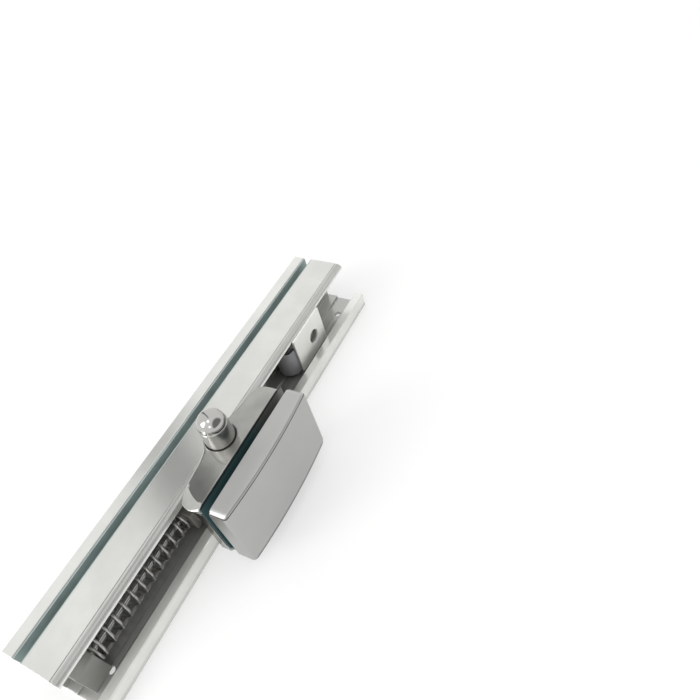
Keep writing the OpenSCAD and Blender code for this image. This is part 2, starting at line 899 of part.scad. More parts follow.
guide_rail();
cover_strip();
glazing_seal();
catch_housing();
catch_plate();
catch_screw();
rod_anchor();
anchor_screws();
guide_rod();
closing_spring();
carriage_body();
glass_gasket();
clamp_bushes();
clamp_plate();
clamp_screws();
cover_cap();
cap_clips();
plunger_bush();
knob_ring();
guide_shoe();
shoe_screws();
rod_bush();
release_knob();
plunger();
roller_arm();
arm_screw();
roller_axles();
axle_clips();
plunger_spring();
guide_roller_a();
guide_roller_b();
buffer_nose();
buffer_stem();
stem_clip();
buffer_spring();
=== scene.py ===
"""Dresses the sliding-door closer: rail, clamped carriage, release knob and catch."""

import json
import logging
import math
from dataclasses import dataclass, field
from enum import Enum

import bmesh
import bpy
from mathutils import Matrix, Vector
from mathutils.bvhtree import BVHTree
from mathutils.geometry import delaunay_2d_cdt
from mathutils.kdtree import KDTree

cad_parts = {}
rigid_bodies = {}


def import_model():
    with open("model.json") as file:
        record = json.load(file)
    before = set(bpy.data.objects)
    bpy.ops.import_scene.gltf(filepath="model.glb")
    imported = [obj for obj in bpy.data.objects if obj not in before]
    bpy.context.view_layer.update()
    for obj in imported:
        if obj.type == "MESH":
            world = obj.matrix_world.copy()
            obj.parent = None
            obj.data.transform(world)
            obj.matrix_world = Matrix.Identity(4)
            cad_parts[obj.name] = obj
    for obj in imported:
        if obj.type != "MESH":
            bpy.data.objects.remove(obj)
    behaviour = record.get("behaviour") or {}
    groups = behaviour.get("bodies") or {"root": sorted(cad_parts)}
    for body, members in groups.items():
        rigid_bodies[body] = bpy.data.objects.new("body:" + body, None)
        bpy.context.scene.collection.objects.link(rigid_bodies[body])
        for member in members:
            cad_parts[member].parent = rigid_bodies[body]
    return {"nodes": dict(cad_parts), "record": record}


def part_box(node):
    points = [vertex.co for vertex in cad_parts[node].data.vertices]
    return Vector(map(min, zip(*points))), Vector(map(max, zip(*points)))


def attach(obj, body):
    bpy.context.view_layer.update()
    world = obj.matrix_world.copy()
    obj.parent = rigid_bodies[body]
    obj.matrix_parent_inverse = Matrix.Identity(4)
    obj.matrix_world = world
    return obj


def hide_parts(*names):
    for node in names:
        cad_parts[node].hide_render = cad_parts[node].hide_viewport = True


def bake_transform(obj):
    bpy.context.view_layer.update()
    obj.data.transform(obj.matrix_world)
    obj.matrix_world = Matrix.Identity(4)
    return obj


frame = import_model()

Socket = bpy.types.NodeSocket
Triple = tuple[float, float, float]
Span = tuple[float, float]
Verts = list[bmesh.types.BMVert]

log = logging.getLogger("door_closer")
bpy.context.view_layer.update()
MM = 0.001
SAME = 0.001 * MM
WHITE = (1.0, 1.0, 1.0, 1.0)


def put(name: str, data: bpy.types.ID) -> bpy.types.Object:
    """Adds an object to the scene.

    Args:
        name: The object's name.
        data: Its mesh, lamp or camera.

    Returns:
        The object.
    """
    thing = bpy.data.objects.new(name, data)
    bpy.context.scene.collection.objects.link(thing)
    return thing


# ---- nodes


class Nodes:
    """Adds and links the nodes of one tree."""

    def __init__(self, tree: bpy.types.NodeTree) -> None:
        """Starts with an empty tree."""
        self.tree = tree
        tree.nodes.clear()

    def give(self, slot: Socket, value: object) -> None:
        """Links a socket to an input, or sets the input to a value.

        Args:
            slot: The input.
            value: A socket, a number or a few numbers.
        """
        if isinstance(value, Socket):
            self.tree.links.new(value, slot)
        else:
            slot.default_value = value

    def add(self, kind: str, inputs: dict[str | int, object] | None = None,
            **values: object) -> bpy.types.Node:
        """Adds a node.

        Args:
            kind: Blender's name of the node type.
            inputs: What each input is given, by its name or number.
            values: Properties of the node itself.

        Returns:
            The new node.
        """
        node = self.tree.nodes.new(kind)
        for key, value in values.items():
            setattr(node, key, value)
        for key, value in (inputs or {}).items():
            self.give(node.inputs[key], value)
        return node

    def math(self, operation: str, first: Socket | float, second: Socket | float = 0.0) -> Socket:
        """Works out one value from two.

        Args:
            operation: Blender's name of the operation.
            first: A socket or a number.
            second: A socket or a number.

        Returns:
            The result.
        """
        return self.add("ShaderNodeMath", {0: first, 1: second}, operation=operation).outputs[0]

    def measure(self, operation: str, vector: Socket, fixed: Triple | Vector) -> Socket:
        """Measures a vector against a fixed one.

        Args:
            operation: Blender's name of the operation.
            vector: The vector.
            fixed: The fixed vector.

        Returns:
            The measure.
        """
        node = self.add("ShaderNodeVectorMath", {0: vector, 1: fixed}, operation=operation)
        return node.outputs["Value"]

    def spread(self, value: Socket, low: float, high: float, start: float = 0.3,
               stop: float = 0.7, course: str = "LINEAR") -> Socket:
        """Maps a span of a value, by default the usual one of a noise, to low..high.

        Args:
            value: The value to map.
            low: Result at the start of the span.
            high: Result at its end.
            start: Start of the span.
            stop: End of the span.
            course: Blender's name of the course between them.

        Returns:
            The mapped value.
        """
        inputs = {"Value": value, "From Min": start, "From Max": stop, "To Min": low,
                  "To Max": high}
        return self.add("ShaderNodeMapRange", inputs, interpolation_type=course).outputs[0]


class Surface(Nodes):
    """The nodes of one material, with Principled BSDF as its shader."""

    def __init__(self, name: str) -> None:
        """Starts the material.

        Args:
            name: The material's name.
        """
        self.material = bpy.data.materials.new(name)
        self.material.use_nodes = True
        super().__init__(self.material.node_tree)
        self.shader = self.add("ShaderNodeBsdfPrincipled")
        self.out = self.add("ShaderNodeOutputMaterial", {"Surface": self.shader.outputs[0]})

    def set(self, name: str, value: object) -> None:
        """Gives one of the shader's inputs a value or a socket."""
        self.give(self.shader.inputs[name], value)

    def place(self, scale: Triple = (1, 1, 1)) -> Socket:
        """Object coordinates stretched by a scale."""
        coords = self.add("ShaderNodeTexCoord").outputs["Object"]
        return self.add("ShaderNodeMapping", {"Vector": coords, "Scale": scale}).outputs[0]

    def axes(self) -> bpy.types.bpy_prop_collection:
        """X, Y and Z of the object coordinates, each a socket."""
        return self.add("ShaderNodeSeparateXYZ", {0: self.place()}).outputs

    def noise(self, vector: Socket, scale: float, detail: float = 3.0,
              roughness: float = 0.5) -> Socket:
        """A noise over the given coordinates.

        Args:
            vector: Coordinates.
            scale: Noise scale, per metre.
            detail: Octaves.
            roughness: Weight of the fine octaves.

        Returns:
            The noise, about 0 to 1.
        """
        inputs = {"Vector": vector, "Scale": scale, "Detail": detail, "Roughness": roughness}
        return self.add("ShaderNodeTexNoise", inputs).outputs["Fac"]

    def blend(self, factor: Socket, first: Socket | tuple[float, ...],
              second: Socket | tuple[float, ...]) -> Socket:
        """Blends two colours.

        Args:
            factor: 0 for the first colour, 1 for the second.
            first: Colour at 0.
            second: Colour at 1.

        Returns:
            The blended colour.
        """
        inputs = {"Factor": factor, "A": first, "B": second}
        return self.add("ShaderNodeMix", inputs, data_type="RGBA").outputs["Result"]

    def bump(self, height: Socket, strength: float, depth: float) -> None:
        """Bumps the surface by a height.

        Args:
            height: The height, 0 to 1.
            strength: Share of the effect.
            depth: Height of 1, in metres.
        """
        inputs = {"Height": height, "Strength": strength, "Distance": depth}
        self.set("Normal", self.add("ShaderNodeBump", inputs).outputs[0])

    def clouded(self, color: Triple, scale: float, strength: float) -> Socket:
        """A colour with soft lighter and darker clouds.

        Args:
            color: The colour.
            scale: Scale of the clouds, per metre.
            strength: How much lighter and darker they get.

        Returns:
            The clouded colour.
        """
        shade = self.spread(self.noise(self.place(), scale, detail=4.0), 0.0, 1.0)
        return self.blend(shade, tint(color, 1 - strength), tint(color, 1 + strength))


def tint(color: Triple, factor: float = 1.0) -> tuple[float, ...]:
    """A colour made lighter or darker.

    Args:
        color: The colour.
        factor: What each channel is multiplied by.

    Returns:
        The new colour with its alpha, at most 1 in each channel.
    """
    return (*(min(1.0, channel * factor) for channel in color), 1.0)


# ---- finishes


class Grain(Enum):
    """Direction in which a metal's fine lines run, as the stretch of their noise."""

    ALONG_RAIL = (0.012, 1, 1)
    UPRIGHT = (1, 1, 0.012)
    NONE = (1, 1, 1)


@dataclass(frozen=True)
class PaintedLight:
    """Painted light or shade: a part of a finish made lighter or darker inside a box along the
    rail's axes.
    """

    y: Span
    z: Span
    factor: float
    soft: float = 0.3 * MM
    x: Span = (-1.0, 1.0)

    def apply(self, n: Surface, color: Socket) -> Socket:
        """Paints the light or shade into the colour inside the box.

        Args:
            n: The material's nodes.
            color: The colour elsewhere.

        Returns:
            The colour with the part.
        """
        axes = n.axes()
        share = 1.0
        for axis, (low, high) in (("X", self.x), ("Y", self.y), ("Z", self.z)):
            for start, stop in ((low, low + self.soft), (high, high - self.soft)):
                side = n.spread(axes[axis], 0.0, 1.0, start, stop)
                share = n.math("MULTIPLY", side, share)
        factor = n.spread(share, 1.0, self.factor, 0.0, 1.0)
        scaled = n.add("ShaderNodeVectorMath", {0: color, "Scale": factor}, operation="SCALE")
        return scaled.outputs[0]


@dataclass(frozen=True)
class Polish:
    """A part of a metal that is smoother from a height on."""

    start: float
    factor: float
    soft: float = 0.4 * MM

    def apply(self, n: Surface, rough: Socket) -> Socket:
        """Polishes what lies above the height.

        Args:
            n: The material's nodes.
            rough: The roughness below it.

        Returns:
            The roughness with the polished part.
        """
        share = n.spread(n.axes()["Z"], 1.0, self.factor, self.start - self.soft,
                         self.start + self.soft)
        return n.math("MULTIPLY", rough, share)


@dataclass(frozen=True)
class MetalFinish:
    """A bare, anodised, cast or polished metal."""

    name: str
    color: Triple
    roughness: float
    grain: Grain = Grain.NONE
    grain_strength: float = 0.12
    cloud: float = 0.05
    pits: float = 0.0
    metallic: float = 1.0
    # painted light and shade, each in a box
    tones: tuple[PaintedLight, ...] = ()
    polish: Polish | None = None
    cloud_scale: float = 38.0
    grain_scale: float = 5200.0
    grain_depth: float = 0.04 * MM
    pit_scale: float = 900.0
    pit_depth: float = 0.25 * MM

    def build(self) -> bpy.types.Material:
        """Makes the material.

        Returns:
            The material.
        """
        n = Surface(self.name)
        n.set("Metallic", self.metallic)
        color = n.clouded(self.color, self.cloud_scale, self.cloud)
        for tone in self.tones:
            color = tone.apply(n, color)
        n.set("Base Color", color)
        lines = n.noise(n.place(self.grain.value), self.grain_scale, roughness=0.65)
        rough = n.spread(lines, self.roughness * (1 - self.grain_strength),
                         self.roughness * (1 + self.grain_strength))
        n.set("Roughness", self.polish.apply(n, rough) if self.polish else rough)
        if self.pits:
            pitted = n.noise(n.place(), self.pit_scale, detail=5.0, roughness=0.7)
            n.bump(pitted, self.pits, self.pit_depth)
        elif self.grain is not Grain.NONE:
            n.bump(lines, self.grain_strength, self.grain_depth)
        return n.material


@dataclass(frozen=True)
class Fade:
    """A second colour, into which a finish fades along the rail."""

    color: Triple
    x: Span

    def apply(self, n: Surface, color: Socket) -> Socket:
        """Fades a colour into the second one.

        Args:
            n: The material's nodes.
            color: The colour at the near end.

        Returns:
            The fading colour.
        """
        return n.blend(n.spread(n.axes()["X"], 0.0, 1.0, *self.x), color, tint(self.color))


@dataclass(frozen=True)
class PlasticFinish:
    """A moulded plastic or a rubber."""

    name: str
    color: Triple
    roughness: float
    skin: float = 0.15
    coat: float = 0.0
    cloud: float = 0.12
    # second colours along the rail, and painted light and shade
    tones: tuple[PaintedLight | Fade, ...] = ()
    cloud_scale: float = 60.0
    coat_roughness: float = 0.08
    skin_scale: float = 2600.0
    skin_depth: float = 0.06 * MM
    skin_shine: Span = (0.9, 1.12)      # share of the roughness, from low to high

    def build(self) -> bpy.types.Material:
        """Makes the material.

        Returns:
            The material.
        """
        n = Surface(self.name)
        n.set("Coat Weight", self.coat)
        n.set("Coat Roughness", self.coat_roughness)
        color = n.clouded(self.color, self.cloud_scale, self.cloud)
        for tone in self.tones:
            color = tone.apply(n, color)
        n.set("Base Color", color)
        skin = n.noise(n.place(), self.skin_scale, detail=2.0)
        low, high = (self.roughness * share for share in self.skin_shine)
        n.set("Roughness", n.spread(skin, low, high))
        n.bump(skin, self.skin, self.skin_depth)
        return n.material


# Painted light and shade on the rail's anodising
RAIL_PAINTED_LIGHT = (
    PaintedLight((-20 * MM, -11 * MM), (43.8 * MM, 50 * MM), 0.64, 1.2 * MM),  # painted shade on the top of the nose
    PaintedLight((-20 * MM, -11 * MM), (36 * MM, 45 * MM), 1.15, 1.2 * MM),    # painted highlight on its lower edge
    PaintedLight((-32 * MM, -19 * MM), (4 * MM, 14 * MM), 1.2),                # painted light on the lip
    PaintedLight((-20 * MM, 8 * MM), (1 * MM, 30 * MM), 0.72),                 # painted shade inside the channel
)
# Painted shade on the casting's top, from just before the knob to the far end
BODY_PAINTED_SHADE = (PaintedLight((-85 * MM, -5 * MM), (60 * MM, 90 * MM), 0.78, 10 * MM, (-32 * MM, 60 * MM)),)
COVER_PAINTED_SHADE = (
    PaintedLight((-80 * MM, -50 * MM), (71.2 * MM, 72.1 * MM), 0.25, 0.1 * MM),  # painted shade in the groove
)
GASKET_FADE_AND_PAINTED_SHADE = (
    Fade((0.13, 0.135, 0.12), (-12 * MM, 6 * MM)),
    PaintedLight((-70 * MM, -40 * MM), (72.2 * MM, 76 * MM), 0.1),  # painted shade along its top edge
)

FINISHES: dict[str, MetalFinish | PlasticFinish] = {
    "rail_alu": MetalFinish("rail anodised", (0.67, 0.675, 0.648), 0.19, Grain.ALONG_RAIL,
                            0.04, metallic=0.6, tones=RAIL_PAINTED_LIGHT),
    "strip_alu": MetalFinish("strip anodised", (0.64, 0.645, 0.618), 0.17, Grain.ALONG_RAIL,
                             0.05, metallic=0.8),
    "plate_alu": MetalFinish("catch plate satin", (0.84, 0.84, 0.81), 0.42, Grain.UPRIGHT,
                             metallic=0.6),
    "body_cast": MetalFinish("body satin casting", (0.475, 0.475, 0.452), 0.165,
                             grain_strength=0.1, cloud=0.2, pits=0.02, tones=BODY_PAINTED_SHADE),
    "cover_satin": MetalFinish("cover satin", (0.46, 0.46, 0.45), 0.38, Grain.UPRIGHT,
                               0.08, cloud=0.02, tones=COVER_PAINTED_SHADE),
    "knob_chrome": MetalFinish("knob polished", (0.46, 0.455, 0.44), 0.27,
                               grain_strength=0.2, cloud=0.03, polish=Polish(88.9 * MM, 0.45)),
    "screw_steel": MetalFinish("screws turned", (0.40, 0.40, 0.39), 0.35, grain_strength=0.2),
    "pin_steel": MetalFinish("pins ground", (0.50, 0.50, 0.49), 0.2, grain_strength=0.2),
    "spring_steel": MetalFinish("spring wire", (0.52, 0.51, 0.49), 0.36, grain_strength=0.2),
    "backing_steel": MetalFinish("backing pressed", (0.40, 0.40, 0.39), 0.45, Grain.UPRIGHT),
    "bush_brass": MetalFinish("bush brass", (0.60, 0.44, 0.21), 0.3, grain_strength=0.2),
    "gasket_rubber": PlasticFinish("gasket teal", (0.055, 0.11, 0.117), 0.34, skin=0.1,
                                   coat=0.3, tones=GASKET_FADE_AND_PAINTED_SHADE),
    "glazing_rubber": PlasticFinish("glazing seal", (0.33, 0.40, 0.39), 0.45),
    "ring_rubber": PlasticFinish("knob seal", (0.012, 0.012, 0.012), 0.5),
    "shoe_plastic": PlasticFinish("shoe acetal", (0.21, 0.205, 0.185), 0.42),
    "block_plastic": PlasticFinish("block nylon", (0.28, 0.28, 0.265), 0.55),
    "bush_plastic": PlasticFinish("bush nylon", (0.72, 0.70, 0.62), 0.4),
    "roller_plastic": PlasticFinish("roller acetal", (0.70, 0.70, 0.67), 0.35),
    "nose_plastic": PlasticFinish("nose blue-grey", (0.29, 0.295, 0.305), 0.38, skin=0.1,
                                  coat=0.2),
}


class Paintbox:
    """Builds each finish once and hands it out by its slot's name."""

    def __init__(self) -> None:
        """Starts with nothing built."""
        self.made: dict[str, bpy.types.Material] = {}

    def get(self, slot: str) -> bpy.types.Material:
        """The material of a slot.

        Args:
            slot: A key of FINISHES.

        Returns:
            The material.
        """
        if slot not in self.made:
            self.made[slot] = FINISHES[slot].build()
        return self.made[slot]


PAINT = Paintbox()


# ---- CAD node dressing


def body_holding(node: str) -> str:
    """Name of the body that holds a CAD node."""
    bodies = frame["record"]["behaviour"]["bodies"]
    return next(body for body, members in bodies.items() if node in members)


def slot_of(node: str) -> str:
    """Name of a CAD node's material slot."""
    parts = frame["record"]["subparts"]
    return next(part["material_slot"] for part in parts if part["node"] == node)


def settle(piece: bpy.types.Object, node: str) -> None:
    """Puts a finished piece on the body of the CAD node that it stands for.

    Args:
        piece: The finished mesh.
        node: The CAD node that it replaces.
    """
    name = slot_of(node)
    piece.data.materials.clear()
    piece.data.materials.append(PAINT.get(name))
    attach(piece, body_holding(node))
    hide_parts(node)
    log.info("%s stands for %s", piece.name, node)


def bake(piece: bpy.types.Object) -> None:
    """Turns a piece's modifiers into a plain mesh.

    Args:
        piece: The piece, changed in place.
    """
    bpy.context.view_layer.update()
    graph = bpy.context.evaluated_depsgraph_get()
    mesh = bpy.data.meshes.new_from_object(piece.evaluated_get(graph))
    piece.modifiers.clear()
    piece.data = mesh


class NodeCopy:
    """A merged copy of a CAD node's mesh, open for changes."""

    def __init__(self, node: str, ending: str, turn: Matrix | None = None) -> None:
        """Copies the mesh.

        Args:
            node: The CAD node.
            ending: What the copy's name adds to the node's.
            turn: Turn in which the copy is worked on.
        """
        self.turn = Matrix() if turn is None else turn
        self.mesh = frame["nodes"][node].data.copy()
        self.mesh.name = node + ending
        self.work = bmesh.new()
        self.work.from_mesh(self.mesh)
        self.work.transform(self.turn)
        bmesh.ops.remove_doubles(self.work, verts=self.work.verts, dist=SAME)

    def finish(self) -> bpy.types.Object:
        """Closes the copy.

        Returns:
            The smooth piece, turned back.
        """
        self.work.transform(self.turn.inverted())
        self.work.to_mesh(self.mesh)
        self.work.free()
        for polygon in self.mesh.polygons:
            polygon.use_smooth = True
        return put(self.mesh.name, self.mesh)


@dataclass
class SoftEdges:
    """Copies a CAD node and breaks its sharp edges with small rounds."""

    width: float
    segments: int = 3
    angle: float = math.radians(32)
    flat_angle: float = math.radians(0.4)
    whole_flats: bool = False
    boxed: bool = False

    def apply(self, node: str) -> None:
        """Makes the piece that stands for the node and puts it on its body.

        Args:
            node: The CAD node.
        """
        copy = NodeCopy(node, "_soft")
        if self.whole_flats:
            bmesh.ops.dissolve_limit(copy.work, angle_limit=self.flat_angle,
                                     verts=copy.work.verts, edges=copy.work.edges)
        piece = copy.finish()
        bevel = piece.modifiers.new("edges", "BEVEL")
        bevel.width = self.width
        bevel.segments = self.segments
        bevel.limit_method = "ANGLE"
        bevel.angle_limit = self.angle
        bevel.use_clamp_overlap = False
        level = piece.modifiers.new("flats", "WEIGHTED_NORMAL")
        level.weight = 100
        level.keep_sharp = True
        bake(piece)
        if self.boxed:
            self._keep_inside(piece.data, frame["nodes"][node].data)
        settle(piece, node)

    @staticmethod
    def _keep_inside(mesh: bpy.types.Mesh, source: bpy.types.Mesh) -> None:
        """Pulls every vertex back into the CAD node's box.

        Args:
            mesh: The finished mesh, changed in place.
            source: The CAD node's mesh.
        """
        for axis in range(3):
            low = min(vert.co[axis] for vert in source.vertices)
            high = max(vert.co[axis] for vert in source.vertices)
            for vert in mesh.vertices:
                vert.co[axis] = min(max(vert.co[axis], low), high)


def seen_from_above(points: list[Vector]) -> KDTree:
    """A search tree of points, all laid at height 0.

    Args:
        points: The points.

    Returns:
        The tree.
    """
    tree = KDTree(len(points))
    for i, point in enumerate(points):
        tree.insert((point.x, point.y, 0), i)
    tree.balance()
    return tree


def turning(ring: Verts) -> float:
    """Twice the area inside a ring, above zero where it runs anticlockwise."""
    pairs = zip(ring, ring[1:] + ring[:1])
    return sum(a.co.x * b.co.y - b.co.x * a.co.y for a, b in pairs)


def within(point: Vector, ring: Verts) -> bool:
    """Whether a point lies inside a ring, seen from above.

    Args:
        point: The point.
        ring: The ring.

    Returns:
        True when it lies inside.
    """
    inside = False
    for a, b in zip(ring, ring[1:] + ring[:1]):
        if (a.co.y > point.y) != (b.co.y > point.y):
            cross = a.co.x + (point.y - a.co.y) / (b.co.y - a.co.y) * (b.co.x - a.co.x)
            inside ^= point.x < cross
    return inside


@dataclass
class RolledFace:
    """Rebuilds a node's show face with one even round along its whole edge."""

    depth: float                            # the part below the top that is rebuilt
    edge: float                             # radius of the outer round
    turn: Matrix = field(default_factory=Matrix)
    lip: float = 0.3 * MM                   # radius of the round at a hole
    step: float = 1.0 * MM                  # mesh of the net
    spacing: float = 0.6                    # least share of a step between its points
    seam_gap: float = 5.0                   # most steps between a seam's points
    rows: int = 6
    fade: float = 3.0 * MM                  # height over which the round grows to its full drop
    apart: float = 0.3 * MM                 # how far a seam's points keep off the rounds
    wall_share: float = 0.4                 # share of the wall at a hole that a round may take
    probe: float = 0.25                     # share of a round at which its height is read
    corner: float = 0.6                     # limit to a sharp corner's inset
    sharp: float = math.radians(34)

    def apply(self, node: str) -> None:
        """Makes the piece that stands for the node and puts it on its body.

        Args:
            node: The CAD node.
        """
        copy = NodeCopy(node, "_rolled", self.turn)
        work = copy.work
        self.skin = BVHTree.FromBMesh(work)
        self.creases: list[Vector] = []
        self.top = max(vert.co.z for vert in work.verts)
        seams = self.seams(work)
        self._open(work)
        rings = sorted(self._rings(work), key=lambda ring: abs(turning(ring)), reverse=True)
        self.close(work, rings[0], rings[1], seams)
        bmesh.ops.recalc_face_normals(work, faces=work.faces)
        piece = copy.finish()
        piece.data.set_sharp_from_angle(angle=self.sharp)
        self._crease(piece.data)
        settle(piece, node)

    def _crease(self, mesh: bpy.types.Mesh) -> None:
        """Keeps the seams as sharp edges.

        Args:
            mesh: The finished mesh, changed in place.
        """
        near = seen_from_above(self.creases)
        places = [self.turn @ vert.co for vert in mesh.vertices]
        seamed = [near.find((place.x, place.y, 0))[2] < 10 * SAME for place in places]
        for edge in mesh.edges:
            if all(seamed[i] for i in edge.vertices):
                edge.use_edge_sharp = True

    def edge_at(self, point: Vector) -> float:
        """Radius of the outer round at a point of the ring."""
        return self.edge

    def seams(self, work: bmesh.types.BMesh) -> list[list[Vector]]:
        """Lines of points that the new face keeps as edges; none here."""
        return []

    def height(self, x: float, y: float) -> float:
        """Height of the CAD's face above a point.

        Args:
            x: The point's X.
            y: The point's Y.

        Returns:
            The height, or that of the highest point where the ray misses.
        """
        hit = self.skin.ray_cast(Vector((x, y, self.top + MM)), Vector((0, 0, -1)))[0]
        return self.top if hit is None or hit.z < self.top - self.depth else hit.z

    def close(self, work: bmesh.types.BMesh, outer: Verts, hole: Verts,
              seams: list[list[Vector]]) -> None:
        """Closes the cut node, with the hole left open through the new face.

        Args:
            work: The opened mesh, changed in place.
            outer: The outer ring at the cut.
            hole: The hole's ring at the cut.
            seams: Lines that stay edges.
        """
        middle = sum((vert.co for vert in hole), Vector()) / len(hole)
        radius = (hole[0].co - middle).length
        walls = [max((vert.co - middle).length - radius, 0) for vert in outer]
        sizes = [min(self.edge_at(vert.co), self.wall_share * wall)
                 for vert, wall in zip(outer, walls)]
        inner = self._roll(work, outer, sizes, True)
        rim = self._roll(work, hole, [self.lip] * len(hole), False)
        self._fill(work, inner, rim, seams)

    def _open(self, work: bmesh.types.BMesh) -> None:
        """Cuts the face off and splits the cut's long edges.

        Args:
            work: The mesh, changed in place.
        """
        everything = [*work.verts, *work.edges, *work.faces]
        bmesh.ops.bisect_plane(work, geom=everything, plane_no=(0, 0, 1), clear_outer=True,
                               plane_co=(0, 0, self.top - self.depth))
        for line in [edge for edge in work.edges if edge.is_boundary]:
            parts = math.ceil(line.calc_length() / self.step)
            if parts > 1:
                bmesh.ops.subdivide_edges(work, edges=[line], cuts=parts - 1)

    @staticmethod
    def _rings(work: bmesh.types.BMesh) -> list[Verts]:
        """The closed rings of boundary vertices.

        Args:
            work: The opened mesh.

        Returns:
            One list of vertices for each ring, in order.
        """
        left = dict.fromkeys(edge for edge in work.edges if edge.is_boundary)
        rings = []
        while left:
            edge = next(iter(left))
            del left[edge]
            ring = list(edge.verts)
            while True:
                step = next((e for e in ring[-1].link_edges if e in left), None)
                if step is None:
                    break
                del left[step]
                ring.append(step.other_vert(ring[-1]))
            if ring[0] is ring[-1]:
                ring.pop()
            rings.append(ring)
        return rings

    def _roll(self, work: bmesh.types.BMesh, ring: Verts, sizes: list[float],
              outer: bool) -> Verts:
        """Raises a ring's side and rolls it over onto the face.

        Args:
            work: The opened mesh, changed in place.
            ring: The ring at the cut.
            sizes: Radius of the round at each vertex.
            outer: Whether the face lies inside the ring.

        Returns:
            The ring in which the round ends.
        """
        floor = self.top - self.depth
        side = 1.0 if (turning(ring) > 0) == outer else -1.0
        walls = [Vector((a.co.y - b.co.y, b.co.x - a.co.x, 0)).normalized() * side
                 for a, b in zip(ring, ring[1:] + ring[:1])]
        ways = []
        for before, after in zip(walls[-1:] + walls[:-1], walls):
            both = (before + after).normalized()
            ways.append(both / max(both.dot(after), self.corner))
        last = ring
        for row in range(self.rows + 1):
            angle = math.radians(90) * row / self.rows
            new = []
            for vert, way, size in zip(ring, ways, sizes):
                inset = size * (1 - math.cos(angle))
                probe = vert.co + way * max(inset, self.probe * size)
                high = self.height(probe.x, probe.y)
                drop = size * (1 - math.sin(angle)) * min(1.0, (high - floor) / self.fade)
                place = vert.co + way * inset
                new.append(work.verts.new((place.x, place.y, high - drop)))
            for i in range(len(ring)):
                j = (i + 1) % len(ring)
                work.faces.new((last[i], last[j], new[j], new[i]))
            last = new
        return last

    def _fill(self, work: bmesh.types.BMesh, inner: Verts, rim: Verts,
              seams: list[list[Vector]]) -> None:
        """Lays a fine net between the rolled edges, with its height from the CAD.

        Args:
            work: The mesh, changed in place.
            inner: Ring in which the outer round ends.
            rim: Ring in which the hole's round ends, empty for none.
            seams: Lines that stay edges.
        """
        known = [*inner, *rim]
        points = [Vector((vert.co.x, vert.co.y)) for vert in known]
        lines = []
        for first, ring in ((0, inner), (len(inner), rim)):
            lines += [(first + i, first + (i + 1) % len(ring)) for i in range(len(ring))]
        for seam in seams:
            kept = [p for p in seam if within(p, inner) and self._clear(p, points)]
            first = len(points)
            self.creases += kept
            points += [Vector((p.x, p.y)) for p in kept]
            lines += [(i, i + 1) for i in range(first, len(points) - 1)
                      if (points[i] - points[i + 1]).length < self.seam_gap * self.step]
        points += self._net(points)
        spots, _, faces, origins, _, _ = delaunay_2d_cdt(points, lines, [], 2, 1e-8)
        verts: dict[int, bmesh.types.BMVert] = {}
        for face in faces:
            middle = sum((spots[i] for i in face), Vector((0, 0))) / len(face)
            if not within(middle, inner) or within(middle, rim):
                continue
            for new in (i for i in face if i not in verts):
                x, y = spots[new]
                old = next((known[j] for j in origins[new] if j < len(known)), None)
                verts[new] = old or work.verts.new((x, y, self.height(x, y)))
            work.faces.new([verts[i] for i in face])

    def _net(self, points: list[Vector]) -> list[Vector]:
        """Points in staggered rows between the ones that are already there.

        Args:
            points: The points that are there.

        Returns:
            The new points.
        """
        near = seen_from_above(points)
        low = Vector((min(p.x for p in points), min(p.y for p in points)))
        high = Vector((max(p.x for p in points), max(p.y for p in points)))
        net = []
        for i in range(int((high.x - low.x) / self.step) + 1):
            for j in range(int((high.y - low.y) / self.step) + 1):
                spot = low + Vector(((i + 0.5 * (j % 2)) * self.step, j * self.step))
                if near.find((spot.x, spot.y, 0))[2] > self.spacing * self.step:
                    net.append(spot)
        return net

    def _clear(self, point: Vector, others: list[Vector]) -> bool:
        """Whether a point keeps off the ones that are already there."""
        return all((point.xy - other).length > self.apart for other in others)


@dataclass
class CastTop(RolledFace):
    """The casting's top, with the arc in which the lobe's slope begins."""

    depth: float = 4.0 * MM
    edge: float = 1.4 * MM
    glass_edge: float = 0.12 * MM           # the round along the door glass
    glass_side: float = -51.0 * MM          # Y up to which the casting faces the glass
    level: float = 0.999                    # least upward share of a flat face's normal
    slope: Span = (0.8, 0.97)               # the same for the lobe's slope

    def edge_at(self, point: Vector) -> float:
        """Radius of the outer round at a point of the ring, small along the glass."""
        return self.glass_edge if point.y < self.glass_side else self.edge

    def seams(self, work: bmesh.types.BMesh) -> list[list[Vector]]:
        """The arc between the plateau and the slope.

        Args:
            work: The CAD node's mesh.

        Returns:
            The arc, as one line.
        """
        found: dict[bmesh.types.BMVert, None] = {}
        for line in work.edges:
            if len(line.link_faces) != 2 or min(v.co.z for v in line.verts) < self.top - SAME:
                continue
            flat, tilted = sorted((face.normal.z for face in line.link_faces), reverse=True)
            if flat > self.level and self.slope[0] < tilted < self.slope[1]:
                found.update(dict.fromkeys(line.verts))
        return [sorted((vert.co.copy() for vert in found), key=lambda point: point.y)]


